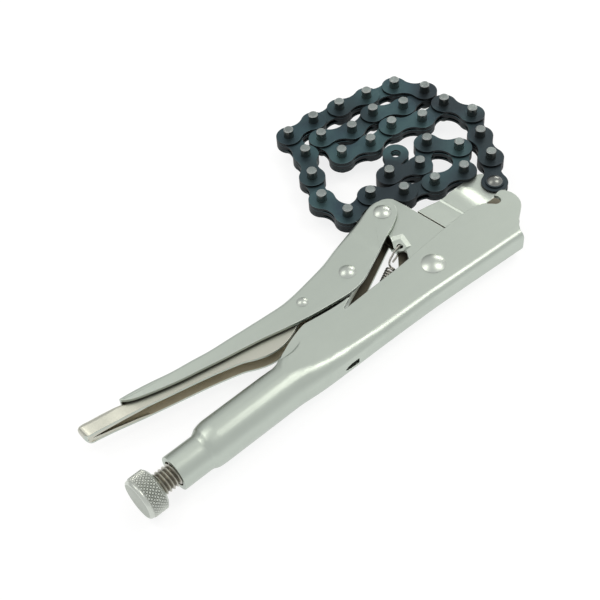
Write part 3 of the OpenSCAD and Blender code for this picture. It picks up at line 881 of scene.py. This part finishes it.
class Grower(Weave):
    """A geometry node tree with named inputs."""

    def __init__(self, name, **sizes):
        super().__init__(bpy.data.node_groups.new(name, "GeometryNodeTree"))
        new_socket = self.tree.interface.new_socket
        new_socket(name="Geometry", in_out="INPUT", socket_type="NodeSocketGeometry")
        for label, value in sizes.items():
            kind = "NodeSocketInt" if isinstance(value, int) else "NodeSocketFloat"
            new_socket(name=label, in_out="INPUT", socket_type=kind).default_value = value
        new_socket(name="Geometry", in_out="OUTPUT", socket_type="NodeSocketGeometry")
        self.come = self.tree.nodes.new("NodeGroupInput").outputs
        self.go = self.tree.nodes.new("NodeGroupOutput").inputs[0]

    def make(self, kind, inputs=None, **settings):
        """The first output of a new node."""
        return self.add(kind, inputs, **settings).outputs[0]

    def give(self, geometry):
        self.put(self.go, geometry)

    def painted(self, geometry, material, chosen=True):
        return self.make(
            "GeometryNodeSetMaterial", {"Geometry": geometry, "Material": material, "Selection": chosen}
        )

    def realized(self, geometry):
        return self.make("GeometryNodeRealizeInstances", {"Geometry": geometry})

    def give_smooth(self, geometry, material):
        smooth = self.make("GeometryNodeSetShadeSmooth", {"Geometry": geometry})
        self.give(self.painted(self.realized(smooth), material))

    def together(self, *parts):
        node = self.add("GeometryNodeJoinGeometry")
        for p in parts:
            self.tree.links.new(p, node.inputs[0])
        return node.outputs[0]

    def point(self, x, y, z):
        return self.make("ShaderNodeCombineXYZ", {0: x, 1: y, 2: z})

    def lifted(self, geometry, z):
        up = self.point(0.0, 0.0, z)
        return self.make("GeometryNodeTransform", {"Geometry": geometry, "Translation": up})

    def turned_over(self, geometry):
        return self.make("GeometryNodeTransform", {"Geometry": geometry, "Rotation": (math.pi, 0, 0)})

    def unit_grid(self, across, along):
        """A grid, with how far each of its points lies along its two sides, from 0 to 1."""
        grid = self.make(
            "GeometryNodeMeshGrid", {"Size X": 1.0, "Size Y": 1.0, "Vertices X": across, "Vertices Y": along}
        )
        spot = self.add("ShaderNodeSeparateXYZ", {0: self.make("GeometryNodeInputPosition")}).outputs
        return grid, self.plus(spot[0], 0.5), self.plus(spot[1], 0.5)

    def round_the_axis(self, turn, r):
        """The two sides of a point at a radius, turned by a share of a whole turn."""
        a = self.times(turn, 2 * math.pi)
        return [self.times(r, self.math(how, a)) for how in ("COSINE", "SINE")]

    def moved_to(self, geometry, place, weld):
        """The points set in their places, and those closer than the weld made one."""
        moved = self.make("GeometryNodeSetPosition", {"Geometry": geometry, "Position": place})
        return self.make("GeometryNodeMergeByDistance", {"Geometry": moved, "Distance": weld})

    def marked(self, geometry, name, value, kind, domain):
        inputs = {"Geometry": geometry, "Name": name, "Value": value}
        return self.make("GeometryNodeStoreNamedAttribute", inputs, data_type=kind, domain=domain)


def grown(grower, seed_mesh=None, **sizes):
    """The mesh that a grower makes with these sizes."""
    obj = placed(seed_mesh or bpy.data.meshes.new("seed"))
    m = obj.modifiers.new("grow", "NODES")
    m.node_group = grower.tree
    for item in grower.tree.interface.items_tree:
        if item.item_type == "SOCKET" and item.in_out == "INPUT" and item.name in sizes:
            m[item.identifier] = sizes[item.name]
    return taken_off(obj)


def turned_surface(name, wave, material, **sizes):
    """A grower for a round surface along X whose radius follows a wave rule."""
    g = Grower(name, Radius=1.0, Length=1.0, Depth=0.5, Pitch=1.0, Around=64, Along=64, Fade=0.5, **sizes)
    grid, u, v = g.unit_grid(g.come["Around"], g.come["Along"])
    s = g.times(v, g.come["Length"])
    low = g.over(s, g.come["Fade"])
    high = g.over(g.minus(g.come["Length"], s), g.come["Fade"])
    fade = g.math("MINIMUM", g.math("MINIMUM", low, high), 1.0)
    drop = g.times(g.times(wave(g, u, s), g.come["Depth"]), fade)
    rest = g.times(g.minus(1.0, fade), g.come["Depth"])
    r = g.minus(g.minus(g.come["Radius"], drop), rest)
    # The depth below the crest is stored for the painted shade in the cut valleys.
    marked = g.marked(grid, "groove_shade", g.over(drop, g.come["Depth"]), "FLOAT", "POINT")
    surface = g.moved_to(marked, g.point(s, *g.round_the_axis(u, r)), 0.001)
    g.give_smooth(surface, material)
    return g


def saw(g, value):
    """A wave from 0 on a crest to 1 in a valley, once for each whole step of the value."""
    part = g.math("FRACT", value)
    return g.minus(1.0, g.math("ABSOLUTE", g.minus(g.times(part, 2.0), 1.0)))


def thread_wave(g, u, s):
    wave = saw(g, g.minus(g.over(s, g.come["Pitch"]), u))
    return g.span(wave, 0.1, 0.85, 0.0, 1.0)


def knurl_wave(g, u, s):
    round_steps = g.times(u, g.come["Teeth"])
    along_steps = g.over(s, g.come["Pitch"])
    one = saw(g, g.plus(round_steps, along_steps))
    two = saw(g, g.minus(round_steps, along_steps))
    return g.math("MAXIMUM", g.math("POWER", one, 1.6), g.math("POWER", two, 1.6))


teeth = 34
thread = turned_surface("wind_thread", thread_wave, screw_bright)
knurl = turned_surface("press_knurl", knurl_wave, knurl_nickel, Teeth=teeth)


def on_screw_line(mesh, x):
    mesh.transform(Matrix.Translation((x, screw_y, 0)))
    return mesh


# Adjusting screw: threaded rod, plain nose and knurled knob

rod_from, rod_to = node_span("screw_rod")
rod_long, rod_sides, thread_deep, thread_pitch = rod_to - rod_from, 56, 0.95, 1.75
root_r = screw_r - thread_deep
rod_skin = grown(
    thread, Radius=screw_r, Length=rod_long, Depth=thread_deep, Pitch=thread_pitch,
    Around=rod_sides, Along=360, Fade=0.9,
)
rod_ends = [lathe_x(p, rod_sides) for p in ([(0, 0), (0, root_r)], [(rod_long, root_r), (rod_long, 0)])]
rod = merged(reworked(rod_skin, turn_out), *[painted(e, screw_bright) for e in rod_ends])
piece("screw_thread", shade(on_screw_line(rod, rod_from), 60), "screw", "screw_steel", "screw_rod")

knob_back, knob_front = node_span("knob")
knob_back -= 1
knob_r, knob_long = 9.55, knob_front - knob_back
band_from, band_to, band_end_r = 1.6, knob_long - 1.1, knob_r - 0.55
face_r, neck_bore_r = knob_r - 1.5, screw_r + 0.05
knob_band = grown(
    knurl, Radius=knob_r, Length=band_to - band_from, Depth=0.6, Pitch=1.68,
    Around=teeth * 12 + 1, Along=80, Fade=0.35,
)
knob_band.transform(Matrix.Translation((band_from, 0, 0)))
end_face = [(0, 0), (0, face_r)]
crown = [(0, face_r), (0.08, knob_r - 1.15), (0.3, knob_r - 0.8), (0.8, knob_r - 0.5), (1.2, knob_r - 0.42)]
crown += [(band_from, band_end_r)]
shank = [(band_to, band_end_r), (band_to + 0.35, knob_r - 0.9), (knob_long - 0.2, knob_r - 1.7)]
shank += [(knob_long, knob_r - 2.2), (knob_long, neck_bore_r), (knob_long - 1, neck_bore_r)]
# The end face takes the darker face tone: painted shade.
knob_ends = [painted(lathe_x(end_face, 96), shaded_knob_face)]
knob_ends += [painted(lathe_x(p, 96), knurl_nickel) for p in (crown, shank)]
knob = merged(reworked(knob_band, turn_out), *knob_ends)
piece("knurled_knob", shade(on_screw_line(knob, knob_back), 55), "screw", "nickel_steel", "knob")

nose_from, nose_to = node_span("screw_nose")
nose_long, nose_r = nose_to - nose_from, screw_r - 0.8
nose_shape = [(0, 0), (0, nose_r - 0.1), (0.1, nose_r), (nose_long - 1.1, nose_r)]
nose_shape += [(nose_long - 0.5, nose_r - 0.35), (nose_long - 0.1, nose_r - 0.95), (nose_long, nose_r - 1.3)]
nose_shape += [(nose_long, 0)]
nose = painted(on_screw_line(lathe_x(nose_shape), nose_from), screw_bright)
piece("screw_nose_turned", shade(nose, 40), "screw_nose", "screw_steel", "screw_nose")

# Return spring: one wire from the ear, round the coils and through the tab

ear, tab = Vector((*ear_at, 0)), Vector(((tab_back + tab_front) / 2, tab_hole_y, 0))
spring_line = (tab - ear).normalized()
spring_side = Vector((0, 0, 1)).cross(spring_line)
spring_long, ear_lead, tab_lead = (tab - ear).length, 11.5, 5.0
coils, coil_r, coil_steps, wire_r, over_ear = 30, 2.0, 18, 0.45, 4.0


def coil_at(t):
    """A point of the winding, which starts half wide at the ear and closes at the tab."""
    width = min(1, 0.45 + t * coils * 2, (1 - t) * coils * 8 / 6) * coil_r
    a = 2 * math.pi * coils * t
    ring = spring_side * math.sin(a) + Vector((0, 0, 1)) * math.cos(a)
    return ear + spring_line * (ear_lead + t * (spring_long - ear_lead - tab_lead)) + ring * width


def wire_path():
    hook = [
        (-7.5, -3.1, 0.9), (-3.6, -1.9, 0.9), (-1.3, -0.7, 1), (-0.2, -0.1, 1.7), (0, 0, over_ear - 1.2),
        (-0.2, 0, over_ear - 0.4), (-0.8, -0.1, over_ear), (-3, -0.6, over_ear + 0.05),
        (-4.4, -0.9, over_ear - 0.3), (-5.6, -1.2, over_ear - 1.1), (-8.3, -1.9, 1.2), (-9.4, -2.9, 0.5),
    ]
    path = flow([tuple(ear + Vector(p)) for p in hook] + [tuple(coil_at(0))], 0.4)[:-1]
    path += [tuple(coil_at(k / (coils * coil_steps))) for k in range(coils * coil_steps + 1)]
    path += [tuple(tab + Vector((x, 0, 0))) for x in (1.6, -2.4)]
    mesh = bpy.data.meshes.new("path")
    mesh.from_pydata(path, [(k, k + 1) for k in range(len(path) - 1)], [])
    return mesh


def wire_grower():
    g = Grower("draw_wire", Thickness=0.5, Sides=12)
    line = g.make("GeometryNodeMeshToCurve", {"Mesh": g.come["Geometry"]})
    ring = g.make(
        "GeometryNodeCurvePrimitiveCircle", {"Resolution": g.come["Sides"], "Radius": g.come["Thickness"]}
    )
    tube = g.make("GeometryNodeCurveToMesh", {"Curve": line, "Profile Curve": ring, "Fill Caps": True})
    g.give_smooth(tube, wire_steel)
    return g


spring = grown(wire_grower(), wire_path(), Thickness=wire_r)
coil_start, coil_end = to_row @ (tab - spring_line * tab_lead), to_row @ (ear + spring_line * ear_lead)
piece("return_coil", spring, ("handle", "jaw", coil_start, coil_end), "spring_wire", "return_spring")

# Rivets: a shank with a domed head on each side


def rivet_grower():
    g = Grower("head_rivet", Shank=2.0, Head=3.0, Rise=1.0, Under=6.0)
    head, rise = g.come["Head"], g.come["Rise"]
    grid, u, v = g.unit_grid(49, 15)
    r = g.times(g.math("MINIMUM", g.times(v, 1.08), 1.0), head)
    squares = g.plus(g.math("POWER", head, 2.0), g.math("POWER", rise, 2.0))
    ball = g.over(squares, g.times(rise, 2.0))
    height = g.math("SQRT", g.minus(g.math("POWER", ball, 2.0), g.math("POWER", r, 2.0)))
    lift = g.minus(height, g.minus(ball, rise))
    place = g.point(*g.round_the_axis(u, r), g.plus(g.come["Under"], lift))
    dome = g.moved_to(grid, place, 0.002)
    under = g.make("GeometryNodeMeshCircle", {"Vertices": 48, "Radius": head}, fill_type="NGON")
    top = g.together(dome, g.lifted(under, g.come["Under"]))
    long = g.times(g.come["Under"], 2.0)
    shank_size = {"Vertices": 40, "Radius": g.come["Shank"], "Depth": long}
    shank_bar = g.make("GeometryNodeMeshCylinder", shank_size, fill_type="NONE")
    g.give_smooth(g.together(top, g.turned_over(top), shank_bar), rivet_bright)
    return g


rivet = rivet_grower()
collar_r, collar_thick, collar_low = 4.4, 0.75, 2.0
for name, body, head_r, rise, under in (
    ("main", "handle", 5.6, 1.5, 6.4),
    ("lever", "jaw", 4.25, 1.4, 6.4),
    ("link", "lever", 3.95, 1.4, 6.65),
    ("release", "lever", 2.6, 1.0, 6.65),
    ("chain", "jaw", 3.7, 1.5, 2.7),
):
    at = rivet_at[name]
    head = grown(rivet, Shank=rivet_r[name], Head=head_r, Rise=rise, Under=under)
    head.transform(Matrix.Translation((at.x, at.y, 0)))
    head = shade(reworked(head, turn_out), 40)
    if name == "chain":
        lows = (collar_low, -collar_low - collar_thick)
        collars = [round_bar(at, collar_r, low, low + collar_thick) for low in lows]
        head = merged(painted(head, rivet_dark), *[eased(painted(c, blued_plate), 0.12) for c in collars])
    piece(f"{name}_rivet_domed", head, body, "rivet_steel", f"{name}_rivet")

# Chain: inner links of two plates, outer links of three plates with two standing pins

pitch, plate_r, waist, pin_r = 15.875, 6.4, 4.0, rivet_r["chain"]
plate_thick, plate_ease = 1.0, 0.16
waist_r = ((pitch / 2) ** 2 + waist**2 - plate_r**2) / (2 * (plate_r - waist))
waist_y = waist_r + waist


def plate_template():
    """One chain plate with broken edges, lying about its middle plane."""
    tangent = math.degrees(math.atan2(waist_y, pitch / 2))
    top = math.degrees(math.asin((pitch / 2) / (waist_r + plate_r)))
    outline = arc((0, 0), plate_r, tangent, 360 - tangent, 40)
    outline += arc((pitch / 2, -waist_y), waist_r, 90 + top, 90 - top, 12)[1:-1]
    outline += arc((pitch, 0), plate_r, tangent - 180, 180 - tangent, 40)
    outline += arc((pitch / 2, waist_y), waist_r, -90 + top, -90 - top, 12)[1:-1]
    holes = [arc((x, 0), pin_r + rivet_play, 0, 345, 24) for x in (0, pitch)]
    curve = bpy.data.curves.new("plate", "CURVE")
    curve.dimensions, curve.fill_mode = "2D", "BOTH"
    curve.extrude, curve.offset = plate_thick / 2 - plate_ease, -plate_ease
    curve.bevel_depth, curve.bevel_resolution = plate_ease, 1
    for ring in (outline, *holes):
        line = curve.splines.new("POLY")
        line.points.add(len(ring) - 1)
        for p, (x, y) in zip(line.points, ring):
            p.co = (x, y, 0, 1)
        line.use_cyclic_u = True
    mesh = taken_off(placed(curve))
    mesh.materials.clear()
    return reworked(mesh, lambda bm: bmesh.ops.remove_doubles(bm, verts=bm.verts, dist=0.005), turn_out)


def chain_grower(name, outer):
    """A link: plates set at their levels and, on an outer link, pins with chamfered ends."""
    g = Grower(name, Pitch=pitch, Inner=1.55, Outer=2.6, Middle=2.0, Pin=pin_r, Stand=7.7, Chamfer=0.5)
    plate, pin, chamfer = g.come["Geometry"], g.come["Pin"], g.come["Chamfer"]
    level = g.come["Outer"] if outer else g.come["Inner"]
    plates = [g.lifted(plate, level), g.lifted(plate, g.times(level, -1.0))]
    if outer:
        thicker = g.point(1.0, 1.0, g.come["Middle"])
        plates.append(g.make("GeometryNodeTransform", {"Geometry": plate, "Scale": thicker}))
    parts = [g.marked(g.together(*plates), "plate", True, "BOOLEAN", "FACE")]
    if outer:
        body_half = g.minus(g.come["Stand"], chamfer)
        bar_size = {"Vertices": 28, "Radius": pin, "Depth": g.times(body_half, 2.0)}
        bar = g.painted(g.make("GeometryNodeMeshCylinder", bar_size, fill_type="NONE"), pin_side)
        tip_r = g.minus(pin, chamfer)
        tip_size = {"Vertices": 28, "Radius Bottom": pin, "Radius Top": tip_r, "Depth": chamfer}
        tip = g.painted(g.lifted(g.make("GeometryNodeMeshCone", tip_size), body_half), pin_end)
        whole_pin = g.together(bar, tip, g.turned_over(tip))
        ends = g.make("GeometryNodeMeshLine", {"Count": 2, "Offset": g.point(g.come["Pitch"], 0.0, 0.0)})
        parts.append(g.make("GeometryNodeInstanceOnPoints", {"Points": ends, "Instance": whole_pin}))
    on_plate = g.make("GeometryNodeInputNamedAttribute", {"Name": "plate"}, data_type="BOOLEAN")
    link = g.painted(g.realized(g.together(*parts)), blued_plate, on_plate)
    facing = g.add("ShaderNodeSeparateXYZ", {0: g.make("GeometryNodeInputNormal")}).outputs[2]
    upright = g.math("LESS_THAN", g.math("ABSOLUTE", facing), 0.5)
    g.give(g.painted(link, sheared_edge, g.times(upright, on_plate)))
    return g


thin_plate = plate_template()
inner_link, outer_link = chain_grower("inner_link", False), chain_grower("outer_link", True)
link_count = sum(1 for n in frame["bodies"] if n.startswith("link_"))
end_hole = next(Vector(m["pos_m"]) for m in frame["record"]["mounts"] if m["name"] == "chain_end_hole")
pins = [rivet_at["chain"]]
pins += [from_main(pivot[f"chain_pin_{k:02d}"]) for k in range(1, link_count)] + [from_main(end_hole)]
for k, (a, b) in enumerate(zip(pins, pins[1:])):
    mesh = shade(grown(outer_link if k % 2 else inner_link, thin_plate.copy()), 30)
    heading = Matrix.Rotation(math.atan2(b.y - a.y, b.x - a.x), 4, "Z")
    mesh.transform(Matrix.Translation((a.x, a.y, 0)) @ heading)
    piece(f"chain_link_{k + 1:02d}", mesh, f"link_{k + 1:02d}", "blued_steel", f"link_{k + 1:02d}")

# Stage: pale floor, soft studio light and the photograph's viewpoint


def make_floor():
    """A pale floor that keeps shadows and looks white directly, in metal and through glass."""
    mat = bpy.data.materials.new("pale_floor")
    w = own_nodes(mat)
    path = w.add("ShaderNodeLightPath").outputs
    seen = w.math("MAXIMUM", path["Is Glossy Ray"], path["Is Transmission Ray"])
    glow = w.times(w.math("MAXIMUM", path["Is Camera Ray"], seen), 0.8)
    matt = w.add("ShaderNodeBsdfDiffuse", {"Color": (0.25, 0.25, 0.25, 1)})
    lit = w.add("ShaderNodeEmission", {"Color": (1, 1, 1, 1), "Strength": glow})
    both = w.add("ShaderNodeAddShader", {0: matt.outputs[0], 1: lit.outputs[0]})
    w.add("ShaderNodeOutputMaterial", {"Surface": both.outputs[0]})
    mesh = bpy.data.meshes.new("floor")
    s = 6.0
    mesh.from_pydata([(-s, -s, 0), (s, -s, 0), (s, s, 0), (-s, s, 0)], [], [(0, 1, 2, 3)])
    placed(painted(mesh, mat), "floor")


def make_world():
    """A pale room, dimmer to one side near the ground and white where the camera sees it."""
    world = bpy.data.worlds.new("studio")
    w = own_nodes(world)
    way = w.add("ShaderNodeSeparateXYZ", {0: w.add("ShaderNodeTexCoord").outputs["Generated"]}).outputs
    skirt = w.span(way[1], -0.3, 0.6, 0.84, 0.4)
    sky = w.span(way[2], 0.05, 0.5, skirt, 0.77)
    strength = w.math("MAXIMUM", sky, w.add("ShaderNodeLightPath").outputs["Is Camera Ray"])
    back = w.add("ShaderNodeBackground", {"Color": (1, 1, 1, 1), "Strength": strength})
    w.add("ShaderNodeOutputWorld", {"Surface": back.outputs[0]})
    scene.world = world


def soft_box(name, azimuth, elevation, distance, size, watts):
    """A warm white rectangle of light that faces the middle of the part."""
    a, e = math.radians(azimuth), math.radians(elevation)
    lamp = bpy.data.lights.new(name, "AREA")
    lamp.shape, lamp.color, lamp.energy = "RECTANGLE", (1, 0.97, 0.9), watts
    lamp.size, lamp.size_y = size
    out = Vector((math.cos(a) * math.cos(e), math.sin(a) * math.cos(e), math.sin(e)))
    obj = placed(lamp, name)
    obj.location = out * distance
    obj.rotation_mode = "QUATERNION"
    obj.rotation_quaternion = (-out).to_track_quat("-Z", "Y")


def make_camera():
    lens = bpy.data.cameras.new("photo_lens")
    lens.lens, lens.sensor_width, lens.clip_start, lens.clip_end = 73.36, 36.0, 0.01, 20.0
    camera = placed(lens, "photo_camera")
    look = Matrix((
        (0.749751, 0.542044, -0.379556),
        (-0.658672, 0.556331, -0.506603),
        (-0.063443, 0.629829, 0.774139),
    ))
    camera.matrix_world = Matrix.Translation((main.x - 0.2598, main.y - 0.2456, 0.4305)) @ look.to_4x4()
    scene.camera = camera


make_floor()
make_world()
soft_box("left_box", 120, 57, 0.9, (0.4, 0.4), 1.2)
soft_box("right_box", -20, 60, 0.9, (0.3, 0.4), 1.4)
soft_box("front_box", 25, 18.6, 0.95, (0.34, 0.17), 1.1)
make_camera()
scene.view_settings.view_transform = "Standard"
